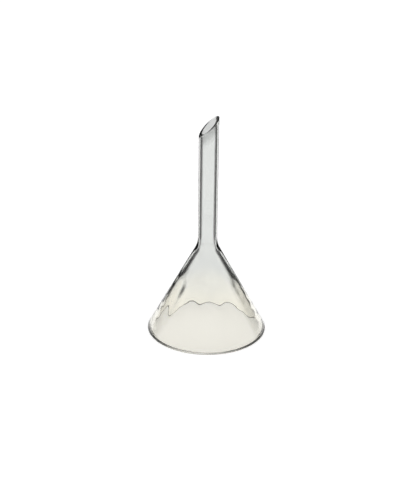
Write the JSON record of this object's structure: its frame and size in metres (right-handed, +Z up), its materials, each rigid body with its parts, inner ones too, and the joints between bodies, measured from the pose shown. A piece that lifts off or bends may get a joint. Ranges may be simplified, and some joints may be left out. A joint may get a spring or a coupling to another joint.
{
  "type": "conical filter funnel",
  "caption": "Clear glass filter funnel with a fluted cone, a rounded rim and a straight stem cut on a slant, standing on its mouth.",
  "frame": {"origin": "middle of the mouth, in the plane of the rim that it stands on", "axes": "+Z up the stem, along the cone's axis; -Y towards the viewer; +X to the right"},
  "size_m": [0.05, 0.05, 0.0914],
  "materials": {
    "glass": "polished clear glass"
  },
  "bodies": {
    "root": {"funnel": "glass"}
  },
  "joints": []
}
